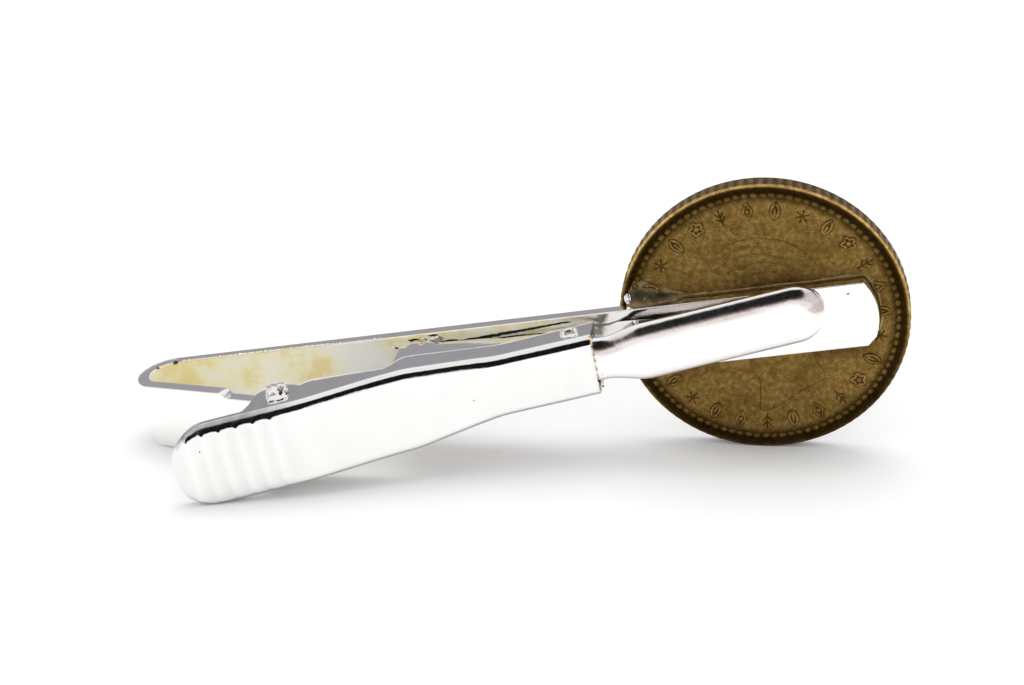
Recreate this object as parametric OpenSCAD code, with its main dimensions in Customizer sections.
// Tie clip: a coin on a folded bar, closed by a riveted lever and a pivoting jaw.
// Lengths are in millimetres. The clip stands on the coin's rim, the bend's lower edge and the lever's tail.
// Side views are drawn as [place along the bar, height over the coin's near face], measured from the coin's centre.

/* [Coin] */
// Diameter of the coin
coin_d = 21; // [20:0.5:26]
// Thickness of the coin at its rim
coin_t = 1.4; // [1.2:0.1:2.2]
// Width of the raised rim
rim_w = 0.45; // [0.3:0.05:0.6]
// Depth of the field below the rim
field_depth = 0.12; // [0.06:0.02:0.24]
// Bevel of the coin's outer edge
coin_edge = 0.2; // [0.1:0.05:0.35]
// Number of beads inside the rim
bead_count = 90; // [60:2:100]
// Diameter of a bead
bead_d = 0.36; // [0.26:0.02:0.44]
// Height of a bead over the field
bead_h = 0.1; // [0.04:0.01:0.12]
// Number of reeds round the edge
reed_count = 95; // [60:1:120]
// Depth of the groove between two reeds
reed_depth = 0.08; // [0.04:0.01:0.14]

/* [Front bar] */
// Width of the bar
bar_w = 5; // [4.4:0.1:5.4]
// Thickness of the strip
bar_t = 0.95; // [0.75:0.05:1.1]
// Length of the bar from the coin's centre to the start of the bend
bar_reach = 44.35; // [40:0.5:60]
// Length of the bar past the coin's centre
bar_end = 8.25; // [6:0.25:9]
// Radius of the bar's rounded end
bar_end_r = 4.4; // [2.8:0.2:8]
// How far the bar's middle line lies below the coin's centre
bar_drop = 0.1; // [0:0.1:1]
// Outer radius of the bend
bend_r = 2.47; // [2:0.05:3.2]
// Slope of the tongue to the bar
tongue_angle = 22; // [18:1:24]
// Length of the tongue from the bend to below the hinge
tongue_len = 12.48; // [12:0.25:15]
// Length of the tongue at the bar's full width
tongue_wide_len = 6.85; // [4:0.05:8]
// Width of the tongue's narrow end and its knuckle
knuckle_w = 4.2; // [3:0.1:4.6]
// Wall of the knuckle
knuckle_wall = 0.83; // [0.6:0.05:0.9]

/* [Solder] */
// Thickness of the solder under the bar
solder_t = 0.08; // [0.04:0.02:0.2]
// Width of the solder that shows beside the bar
solder_w = 0.35; // [0.2:0.05:0.6]
// Height of that solder on the bar's edge
solder_h = 0.3; // [0.1:0.05:0.6]

/* [Hinge] */
// Diameter of the hinge rivet
hinge_d = 1.2; // [0.9:0.1:1.4]
// Length of the hinge rivet's heads along the lever
hinge_head_l = 1.5; // [1.4:0.1:2.2]
// Width of the hinge rivet's heads across the lever's side
hinge_head_w = 1.7; // [1.4:0.1:2.4]
// Height of the hinge rivet's heads
hinge_head_h = 0.4; // [0.3:0.05:0.7]

/* [Lever] */
// Thickness of the lever's sheet
lever_t = 0.5; // [0.4:0.05:0.6]
// Width of the lever at its tail
lever_w = 6.15; // [6:0.05:7]
// Width of the lever at its front end
nose_w = 4.5; // [4.3:0.05:5.2]
// Length of the tail behind the hinge
tail_len = 7.25; // [6.5:0.25:10]
// Rounding of the tail's corners
tail_r = 2.6; // [1.2:0.1:2.9]
// Slope of the tail to the bar
tail_angle = 18; // [16.5:0.5:20]
// Slope of the lever's front part to the bar
nose_angle = 15.1; // [13:0.5:17]
// Length of the straight front part behind the jaw's rivet
nose_len = 6.4; // [5:0.2:8]
// Length of the lever past the jaw's rivet
mouth_len = 1.6; // [1.2:0.1:2]
// Length of the tail's straight part past the hinge
shoulder_len = 1.9; // [1:0.1:3]
// How far the lever dips between its two straight parts
lever_dip = 0.27; // [0:0.05:0.5]
// Length of the lever's gentle bends on each side of their corner
plate_bend_l = 0.9; // [0.4:0.1:1.2]
// Depth of the flanges at the front part
nose_flange = 2.75; // [2.4:0.05:3]
// Depth of the flanges at their notch
notch_flange = 1.55; // [1.2:0.05:2]
// Depth of the flanges between the notch and the ears
waist_flange = 2.65; // [2.2:0.05:2.9]
// Depth of the flanges where the ears start
shoulder_flange = 3.6; // [2.8:0.05:4]
// Depth of the turned edge round the tail
tail_lip = 0.95; // [0.8:0.05:1.4]
// How far the flanges' front ears stand out past the plate's front edge
front_ear = 0.35; // [0:0.05:0.6]
// Radius of the ears round the hinge
ear_r = 1.8; // [1.6:0.1:2.1]
// Number of raised ribs across the tail
rib_count = 6; // [3:1:6]
// Distance between two ribs
rib_pitch = 1.17; // [0.9:0.01:1.2]
// Distance of the first rib from the tail's end
rib_start = 1.3; // [1:0.1:1.8]
// Radius of a rib
rib_r = 0.5; // [0.3:0.05:0.55]
// Height of a rib over the tail
rib_h = 0.13; // [0.05:0.01:0.2]

/* [Jaw] */
// Thickness of the jaw's sheet
jaw_t = 0.4; // [0.3:0.05:0.45]
// Diameter of the jaw's rivet
pivot_d = 0.8; // [0.6:0.05:0.9]
// Distance of the jaw's rivet from the coin's centre
pivot_back = 13.6; // [13:0.1:15]
// Height of the jaw's rivet over the bar
pivot_rise = 2.57; // [2.4:0.05:2.8]
// Length of the jaw's rivet heads along the lever
pivot_head_l = 1.3; // [1:0.05:1.8]
// Width of the jaw's rivet heads across the lever's side
pivot_head_w = 1.25; // [1:0.05:1.8]
// Height of the jaw's rivet heads
pivot_head_h = 0.3; // [0.2:0.05:0.6]
// Width of the square punch mark in the jaw's rivet heads
punch_w = 0.55; // [0.3:0.05:0.8]
// Depth of the punch mark
punch_depth = 0.15; // [0.05:0.05:0.2]
// Length of the jaw behind its rivet
heel_len = 13; // [11:0.5:14]
// Width of the jaw at its heel
heel_w = 4.2; // [3.4:0.1:4.4]
// Distance from the coin's centre to the jaw's tip
tip_reach = 4.45; // [2:0.05:7]
// Slope of the jaw to the bar
jaw_angle = 7.07; // [6.5:0.1:7.5]
// Width of the jaw's head
head_w = 4.15; // [3.6:0.05:5]
// Width of the jaw's neck
neck_w = 2.9; // [2.4:0.1:3.1]
// Distance from the coin's centre back to the start of the head
head_back = 8.9; // [7.5:0.1:9.4]
// Length of the flare between the neck and the head
flare_len = 2.3; // [1.6:0.1:2.6]
// Angle at which the head stands askew
head_skew = 4.7; // [0:0.1:6]
// Depth of the head's turned lip
lip_depth = 0.76; // [0.6:0.04:1]
// Gap between the closed jaw and the bar
close_gap = 0.1; // [0.05:0.05:0.2]
// Gap between the jaw's flanges and the bar at the neck
skim_gap = 0.17; // [0.12:0.01:0.3]
// Gap between the jaw's flanges and the bar at the heel
heel_gap = 1.05; // [0.6:0.05:1.4]
// Length of a tooth along the bar
tooth_l = 0.95; // [0.6:0.05:1.1]
// Number of teeth in each flange
tooth_count = 2; // [1:1:3]

/* [Spring] */
// Thickness of the leaf spring
leaf_t = 0.15; // [0.1:0.01:0.18]
// Width of the leaf spring
leaf_w = 1.8; // [1.4:0.1:3.2]
// Distance behind the hinge at which the leaf turns down to the tongue
leaf_back = 2.2; // [2.1:0.1:3.2]
// Distance behind the hinge at which the leaf rests on the tongue
leaf_rest_back = 3.2; // [3:0.05:5]
// Distance behind the jaw's rivet at which the leaf rests on the jaw
leaf_front_back = 8.9; // [7:0.1:10]
// Length of the leaf's turned-up toes
leaf_toe = 0.6; // [0.4:0.1:1.1]
// Length of the leaf's bends on each side of their corner
leaf_bend_l = 0.25; // [0.1:0.05:0.35]

/* [Hidden] */
// Radial gap between a rivet and what turns on it
running_gap = 0.04;
// Radial gap between a rivet and the flanges that it is peened to
snug_gap = 0.01;
// Gap between the jaw and the lever's sides and plate
slide_gap = 0.08;
// Gap between the leaf spring and what it lies beside
leaf_gap = 0.06;
// How far a cutting shape runs past what it cuts
overrun = 1;
// How far two shapes of one piece run into each other
weld = 0.05;
// How far the coin's blank stands past its reeds before they are cut
blank_over = 0.1;
// Places along the lever between its hinge at 0 and the jaw's rivet at 1
dip_share = 0.417;
shoulder_share = 0.094;
waist_share = 0.227;
notch_share = 0.37;
flange_share = 0.414;
taper_shares = [0.438, 0.734];
// Places down the front ears, from the plate at 0 to the flange's edge at 1
ear_shares = [0.3, 0.55, 0.85];
// Places along the jaw's flanges between its rivet at 0 and its heel's end at 1
skim_share = 0.108;
tooth_shares = [0.83, 0.92];
// Places of the rise of the jaw's flanges, over the flare at 0 to 1
rise_shares = [0.35, 0.9, 1.6];

$fn = 48;
// Number of straight steps in a bend of a drawn path
bend_steps = 4;

coin_r = coin_d / 2;
bead_ring_r = coin_r - rim_w - bead_d;
bar_far = solder_t;
bar_near = solder_t + bar_t;

hinge_r = hinge_d / 2;
pivot_r = pivot_d / 2;
knuckle_bore_r = hinge_r + running_gap;
knuckle_r = knuckle_bore_r + knuckle_wall;
jaw_bore_r = pivot_r + running_gap;
saddle_r = jaw_bore_r + jaw_t;

bend_centre = [-bar_reach, bar_far + bend_r];
bend_in_r = bend_r - bar_t;
tongue_dir = [cos(tongue_angle), sin(tongue_angle)];
tongue_up = [-sin(tongue_angle), cos(tongue_angle)];
tongue_root = bend_centre + bend_in_r * tongue_up;
hinge = tongue_root + tongue_len * tongue_dir + knuckle_r * tongue_up;
pivot = [-pivot_back, bar_near + pivot_rise];

leaf_room = leaf_t + 2 * leaf_gap;
tail_dir = [cos(tail_angle), -sin(tail_angle)];
tail_up = [sin(tail_angle), cos(tail_angle)];
tail_foot = hinge + (knuckle_r + leaf_room + lever_t) * tail_up;
nose_dir = [cos(nose_angle), -sin(nose_angle)];
nose_up = [sin(nose_angle), cos(nose_angle)];
nose_foot = pivot + (saddle_r + slide_gap + lever_t) * nose_up;

tail_x = hinge[0] - tail_len;
front_x = pivot[0] + mouth_len;
plate_tail = on_line(tail_foot, tail_dir, tail_x);
plate_shoulder = on_line(tail_foot, tail_dir, hinge[0] + shoulder_len);
plate_nose = on_line(nose_foot, nose_dir, pivot[0] - nose_len);
plate_front = on_line(nose_foot, nose_dir, front_x);
plate_dip = plate_shoulder + dip_share * (plate_nose - plate_shoulder) - [0, lever_dip];
plate_line = rounded([plate_tail, plate_shoulder, plate_dip, plate_nose, plate_front], plate_bend_l);

jaw_w = nose_w - 2 * lever_t - 2 * slide_gap;
heel_x = pivot[0] - heel_len;
tip_h = bar_near + close_gap + lip_depth;
jaw_dir = [cos(jaw_angle), -sin(jaw_angle)];
jaw_up = [sin(jaw_angle), cos(jaw_angle)];
jaw_foot = [tip_reach, tip_h];
flare_x = -head_back - flare_len;

lever_reach = plate_tail[1] + rib_h;

bend_left = -bend_r - bar_reach;
bar_low = -bar_w / 2 - bar_drop;
stand_angle = asin(coin_r / norm([bend_left, bar_low])) - atan2(-bar_low, -bend_left);
tail_centre = [tail_x + tail_r, tail_r - lever_w / 2 - bar_drop];
tail_low_x = tail_centre[0] - tail_r * sin(stand_angle);
rim_rest = [0, coin_edge, 0];
bend_rest = upright([bend_left, bar_low], bar_far + bend_r);
tail_rest = upright(tail_centre, plate_h(tail_low_x)) - [0, 0, tail_r];
rest_dir = unit(rim_rest - bend_rest);
lean_angle = atan2(tail_rest[2], cross(tail_rest - rim_rest, rest_dir)[2]);
left_x = upright([bend_left, bar_w / 2 - bar_drop], 0)[0];
middle_x = (left_x + coin_r) / 2;
middle_y = (coin_t - lever_reach) / 2;

// A point at place x of the line through a foot
function on_line(foot, dir, x) = foot + dir * (x - foot[0]) / dir[0];

function unit(v) = v / norm(v);

// The turn at corner b of the way from a to c, as points on an arc that starts and ends a length from the corner
function bend(a, b, c, length) =
    let (
        back = unit(a - b),
        ahead = unit(c - b),
        half = acos(back * ahead) / 2,
        r = length * tan(half),
        centre = b + unit(back + ahead) * r / sin(half),
        first = b + back * length - centre,
        last = b + ahead * length - centre,
        start = atan2(first[1], first[0]),
        sweep = (atan2(last[1], last[0]) - start + 540) % 360 - 180
    )
    [for (i = [0:bend_steps])
        centre + r * [cos(start + sweep * i / bend_steps), sin(start + sweep * i / bend_steps)]];

// A path of straight lines with each inner corner rounded
function rounded(points, length) = [
    points[0],
    for (i = [1:len(points) - 2])
        for (p = bend(points[i - 1], points[i], points[i + 1], length)) p,
    points[len(points) - 1]
];

// The same path moved sideways, to its left for a positive distance
function beside(path, distance) = [
    for (i = [0:len(path) - 1])
        let (
            a = path[max(i - 1, 0)],
            b = path[min(i + 1, len(path) - 1)],
            along = unit(b - a)
        )
        path[i] + distance * [-along[1], along[0]]
];

function reversed(list) = [for (i = [len(list) - 1:-1:0]) list[i]];

// Height of the lever's outer face at place x
function plate_h(x) = lookup(x, plate_line);

// Place along the lever, for a share of the way from the hinge to the jaw's rivet
function lever_x(share) = hinge[0] + share * (pivot[0] - hinge[0]);

// Place along the jaw, for a share of the way from its rivet to its heel's end
function jaw_x(share) = pivot[0] - share * heel_len;

// Height of the jaw's outer face at place x
function jaw_h(x) = on_line(jaw_foot, jaw_dir, x)[1];

// A point at height h over the coin's face, with the bar tilted in its own plane until the bend is down
function upright(face_on, h) = [
    face_on[0] * cos(stand_angle) - face_on[1] * sin(stand_angle),
    -h,
    coin_r + face_on[0] * sin(stand_angle) + face_on[1] * cos(stand_angle)
];

// Turns the clip's own directions to its stance: tilted in the bar's plane, then leaning until the tail is down
module stand() {
    translate(rim_rest - [middle_x, middle_y, 0])
        rotate(lean_angle, rest_dir)
            translate([0, 0, coin_r] - rim_rest)
                rotate([0, -stand_angle, 0])
                    translate([0, 0, -bar_drop])
                        children();
}

// A side view made w wide, centred across the bar
module across(w) {
    mirror([0, 1, 0])
        linear_extrude(height = w, center = true)
            children();
}

// A face-on view raised from height low to height high over the coin's near face
module raised(low, high) {
    translate([0, -low, 0])
        rotate([90, 0, 0])
            linear_extrude(height = high - low)
                children();
}

// Places its child's axis across the bar, through a point of the side view
module at(p) {
    translate([p[0], -p[1], 0])
        children();
}

// A face-on bar that reaches from place a to place b, with one width
module strip(a, b, w) {
    translate([a, -w / 2])
        square([b - a, w]);
}

module coin_blank() {
    rotate_extrude($fn = 120)
        polygon([
            [0, field_depth],
            [coin_r - rim_w, field_depth],
            [coin_r - rim_w + field_depth, 0],
            [coin_r - coin_edge, 0],
            [coin_r + blank_over, coin_edge + blank_over],
            [coin_r + blank_over, coin_t - coin_edge - blank_over],
            [coin_r - coin_edge, coin_t],
            [coin_r - rim_w + field_depth, coin_t],
            [coin_r - rim_w, coin_t - field_depth],
            [0, coin_t - field_depth]
        ]);
}

module reeded_disc() {
    step = 180 / reed_count;
    polygon([
        for (i = [0:2 * reed_count - 1])
            let (r = coin_r - (i % 2) * reed_depth)
            r * [cos(i * step), sin(i * step)]
    ]);
}

module bead_ring(low) {
    for (i = [0:bead_count - 1])
        rotate([0, 0, i * 360 / bead_count])
            translate([bead_ring_r, 0, low])
                cylinder(d = bead_d, h = bead_h + weld, $fn = 16);
}

// The coin, with its near face at height zero
module coin_body() {
    translate([0, 0, bar_drop])
        rotate([-90, 0, 0])
            union() {
                intersection() {
                    coin_blank();
                    translate([0, 0, -overrun])
                        linear_extrude(height = coin_t + 2 * overrun)
                            reeded_disc();
                }
                bead_ring(field_depth - bead_h);
                bead_ring(coin_t - field_depth - weld);
            }
}

module coin() {
    color([0.55, 0.44, 0.24])
        stand()
            coin_body();
}

// The bar seen face on, grown by a margin, with its rounded end
module bar_plan(margin) {
    end_r = bar_end_r + margin;
    end_x = bar_end - bar_end_r;
    strip(bend_left - margin, end_x, bar_w + 2 * margin);
    intersection() {
        strip(end_x, end_x + end_r, bar_w + 2 * margin);
        translate([end_x, 0])
            circle(r = end_r, $fn = 96);
    }
}

// The strip's straight bar and its bend, seen from the side
module bar_side() {
    translate([-bar_reach, bar_far])
        square([bar_reach + bar_end, bar_t]);
    difference() {
        translate(bend_centre)
            circle(r = bend_r, $fn = 96);
        translate(bend_centre)
            circle(r = bend_in_r, $fn = 96);
        polygon([
            bend_centre + [0, -bend_r - overrun],
            bend_centre,
            bend_centre + (bend_r + overrun) * tongue_up,
            bend_centre + (bend_r + overrun) * (tongue_up + tongue_dir),
            bend_centre + [bend_r + overrun, -bend_r - overrun]
        ]);
    }
}

// The tongue from one length to another, seen from the side
module tongue_side(from, to) {
    near = tongue_root + bar_t * tongue_up;
    polygon([
        tongue_root + from * tongue_dir,
        tongue_root + to * tongue_dir,
        near + to * tongue_dir,
        near + from * tongue_dir
    ]);
}

module knuckle_side() {
    difference() {
        union() {
            tongue_side(tongue_wide_len - weld, tongue_len);
            translate(hinge)
                circle(r = knuckle_r);
        }
        translate(hinge)
            circle(r = knuckle_bore_r);
    }
}

module bar_body() {
    intersection() {
        across(bar_w)
            union() {
                bar_side();
                tongue_side(-weld, tongue_wide_len);
            }
        raised(0, hinge[1])
            bar_plan(0);
    }
    across(knuckle_w)
        knuckle_side();
}

module front_bar() {
    color([0.86, 0.86, 0.84])
        stand()
            bar_body();
}

module solder_seam() {
    color([0.7, 0.7, 0.68])
        stand()
            difference() {
                raised(-field_depth - weld, bar_far + solder_h)
                    intersection() {
                        bar_plan(solder_w);
                        translate([0, bar_drop])
                            circle(r = coin_r - coin_edge, $fn = 120);
                    }
                bar_body();
                coin_body();
            }
}

// The lever's outline seen face on, drawn in by a margin and filled from one height to another
module lever_outline(margin, low, high) {
    half = lever_w / 2 - margin;
    nose_half = nose_w / 2 - margin;
    end_r = tail_r - margin;
    end_x = tail_x + tail_r;
    past = front_x + front_ear + margin;
    raised(low, high)
        polygon([
            [end_x, half],
            [lever_x(taper_shares[0]), half],
            [lever_x(taper_shares[1]), nose_half],
            [past, nose_half],
            [past, -nose_half],
            [lever_x(taper_shares[1]), -nose_half],
            [lever_x(taper_shares[0]), -half],
            [end_x, -half]
        ]);
    raised(low, high)
        strip(tail_x + margin, end_x + weld, lever_w - 2 * tail_r);
    for (side = [-1, 1])
        raised(low, high)
            translate([end_x, side * (half - end_r)])
                circle(r = end_r);
}

// The lever's side view, filled: plate above, flange edges below, ears and ribs
module lever_block() {
    across(lever_w)
        polygon(concat(
            plate_line,
            [
                [front_x, plate_h(front_x) - ear_shares[0] * nose_flange],
                [front_x + front_ear, plate_h(front_x) - ear_shares[1] * nose_flange],
                [front_x + front_ear, plate_h(front_x) - ear_shares[2] * nose_flange],
                [front_x, plate_h(front_x) - nose_flange],
                [lever_x(flange_share), plate_h(lever_x(flange_share)) - nose_flange],
                [lever_x(notch_share), plate_h(lever_x(notch_share)) - notch_flange],
                [lever_x(waist_share), plate_h(lever_x(waist_share)) - waist_flange],
                [lever_x(shoulder_share), plate_h(lever_x(shoulder_share)) - shoulder_flange],
                hinge,
                [hinge[0] - ear_r, plate_h(hinge[0] - ear_r) - tail_lip],
                [tail_x, plate_h(tail_x) - tail_lip]
            ]
        ));
    at(hinge)
        cylinder(r = ear_r, h = lever_w, center = true);
    for (i = [0:rib_count - 1])
        at(on_line(tail_foot, tail_dir, tail_x + rib_start + i * rib_pitch) - (rib_r - rib_h) * tail_up)
            cylinder(r = rib_r, h = lever_w, center = true);
}

// The space in the lever's channel, as far as its plate's inner face
module lever_hollow() {
    inner = beside(plate_line, -lever_t);
    low = bar_far - overrun;
    across(lever_w)
        polygon(concat(
            [[tail_x - overrun, low], [tail_x - overrun, inner[0][1] + overrun * tan(tail_angle)]],
            inner,
            [
                [front_x + 2 * overrun, inner[len(inner) - 1][1] - 2 * overrun * tan(nose_angle)],
                [front_x + 2 * overrun, low]
            ]
        ));
}

module lever() {
    high = lever_reach + overrun;
    color([0.9, 0.9, 0.89])
        stand()
            difference() {
                intersection() {
                    union()
                        lever_block();
                    union()
                        lever_outline(0, 0, high);
                }
                intersection() {
                    lever_hollow();
                    union()
                        lever_outline(lever_t, -overrun, high);
                }
                at(hinge)
                    cylinder(r = hinge_r + snug_gap, h = lever_w + overrun, center = true);
                at(pivot)
                    cylinder(r = pivot_r + snug_gap, h = lever_w + overrun, center = true);
            }
}

// The jaw's outline seen face on, drawn in by a margin and filled from one height to another
module jaw_outline(margin, low, high) {
    half = jaw_w / 2 - margin;
    heel_half = heel_w / 2 - margin;
    neck_half = neck_w / 2 - margin;
    head_half = head_w / 2 - margin;
    head_len = (tip_reach + head_back) / cos(head_skew) - head_w / 2;
    across_head = head_half * [-sin(head_skew), cos(head_skew)];
    raised(low, high)
        polygon([
            [heel_x + margin, heel_half],
            [lever_x(taper_shares[0]), heel_half],
            [lever_x(taper_shares[1]), half],
            [front_x - mouth_len / 2, half],
            [flare_x, neck_half],
            [-head_back, 0] + across_head,
            [-head_back + head_half, 0],
            [-head_back, 0] - across_head,
            [flare_x, -neck_half],
            [front_x - mouth_len / 2, -half],
            [lever_x(taper_shares[1]), -half],
            [lever_x(taper_shares[0]), -heel_half],
            [heel_x + margin, -heel_half]
        ]);
    raised(low, high)
        translate([-head_back, 0])
            rotate(head_skew)
                strip(0, head_len, 2 * head_half);
    raised(low, high)
        translate([-head_back, 0])
            rotate(head_skew)
                translate([head_len, 0])
                    circle(r = head_half);
}

// One tooth under a flange, filled across the jaw
module tooth_block(x) {
    across(heel_w)
        polygon([
            [x - tooth_l / 2, bar_near + heel_gap + weld],
            [x - tooth_l / 4, bar_near + close_gap],
            [x + tooth_l / 4, bar_near + close_gap],
            [x + tooth_l / 2, bar_near + heel_gap + weld]
        ]);
}

// The jaw's side view, filled: plate above, flange edges and lip below, saddle over the rivet, teeth
module jaw_block() {
    rise = [for (share = rise_shares) flare_x + share * flare_len];
    tooth_x = [for (share = tooth_shares) jaw_x(share)];
    across(3 * head_w)
        polygon([
            [heel_x, jaw_h(heel_x)],
            [tip_reach, jaw_h(tip_reach)],
            [tip_reach, jaw_h(tip_reach) - lip_depth],
            [rise[2], jaw_h(rise[2]) - lip_depth],
            [rise[1], (jaw_h(rise[1]) - lip_depth + bar_near + skim_gap) / 2],
            [rise[0], bar_near + skim_gap],
            [jaw_x(skim_share), bar_near + skim_gap],
            [heel_x, bar_near + heel_gap]
        ]);
    at(pivot)
        cylinder(r = saddle_r, h = jaw_w, center = true);
    for (i = [0:tooth_count - 1])
        tooth_block(tooth_x[1] + i * (tooth_x[0] - tooth_x[1]));
}

// The space in the jaw's channel and spoon, as far as its plate's inner face
module jaw_hollow() {
    inner = jaw_foot - jaw_t * jaw_up;
    low = bar_far - overrun;
    difference() {
        across(3 * head_w)
            polygon([
                [heel_x - overrun, low],
                on_line(inner, jaw_dir, heel_x - overrun),
                on_line(inner, jaw_dir, tip_reach + overrun),
                [tip_reach + overrun, low]
            ]);
        intersection() {
            at(pivot)
                cylinder(r = saddle_r, h = jaw_w, center = true);
            across(jaw_w)
                translate(pivot - [saddle_r, 0])
                    square([2 * saddle_r, saddle_r]);
        }
    }
}

module clamp_jaw() {
    high = jaw_h(heel_x) + overrun;
    color([0.88, 0.88, 0.87])
        stand()
            difference() {
                intersection() {
                    union()
                        jaw_block();
                    union()
                        jaw_outline(0, 0, high);
                }
                intersection() {
                    jaw_hollow();
                    union()
                        jaw_outline(jaw_t, -overrun, high);
                }
                at(pivot)
                    cylinder(r = jaw_bore_r, h = jaw_w + overrun, center = true);
            }
}

// A rivet across the lever: its shank, and a peened head on each outer face
module rivet(r, w, head, turn) {
    cylinder(r = r, h = w, center = true);
    for (side = [-1, 1])
        translate([0, 0, side * (w + head[2]) / 2])
            rotate([0, 0, turn])
                cube(head, center = true);
}

module rear_rivet() {
    color([0.84, 0.84, 0.83])
        stand()
            at(hinge)
                rivet(hinge_r, lever_w, [hinge_head_l, hinge_head_w, hinge_head_h], tail_angle);
}

module front_rivet() {
    span = nose_w + 2 * pivot_head_h;
    color([0.84, 0.84, 0.83])
        stand()
            at(pivot)
                difference() {
                    rivet(pivot_r, nose_w, [pivot_head_l, pivot_head_w, pivot_head_h], nose_angle);
                    for (side = [-1, 1])
                        translate([0, 0, side * span / 2])
                            rotate([0, 0, nose_angle])
                                cube([punch_w, punch_w, 2 * punch_depth], center = true);
                }
}

// The leaf's middle line: toe, rest on the tongue, turn behind the hinge, way past it, rest on the jaw, toe
function leaf_path() =
    let (
        off = leaf_t / 2 + leaf_gap,
        tongue_face = tongue_root + (bar_t + off) * tongue_up,
        under_plate = tail_foot - (lever_t + off) * tail_up,
        jaw_face = jaw_foot + off * jaw_up,
        rest = on_line(tongue_face, tongue_dir, hinge[0] - leaf_rest_back),
        front = on_line(jaw_face, jaw_dir, pivot[0] - leaf_front_back)
    )
    rounded([
        rest - leaf_toe * [cos(tongue_angle), -sin(tongue_angle)],
        rest,
        on_line(under_plate, tail_dir, hinge[0] - leaf_back),
        on_line(under_plate, tail_dir, hinge[0] + shoulder_len - leaf_room * 2),
        front,
        front + leaf_toe * [cos(jaw_angle), sin(jaw_angle)]
    ], leaf_bend_l);

module leaf_spring() {
    path = leaf_path();
    color([0.6, 0.6, 0.6])
        stand()
            across(leaf_w)
                polygon(concat(beside(path, leaf_t / 2), reversed(beside(path, -leaf_t / 2))));
}

coin();
front_bar();
solder_seam();
lever();
clamp_jaw();
rear_rivet();
front_rivet();
leaf_spring();
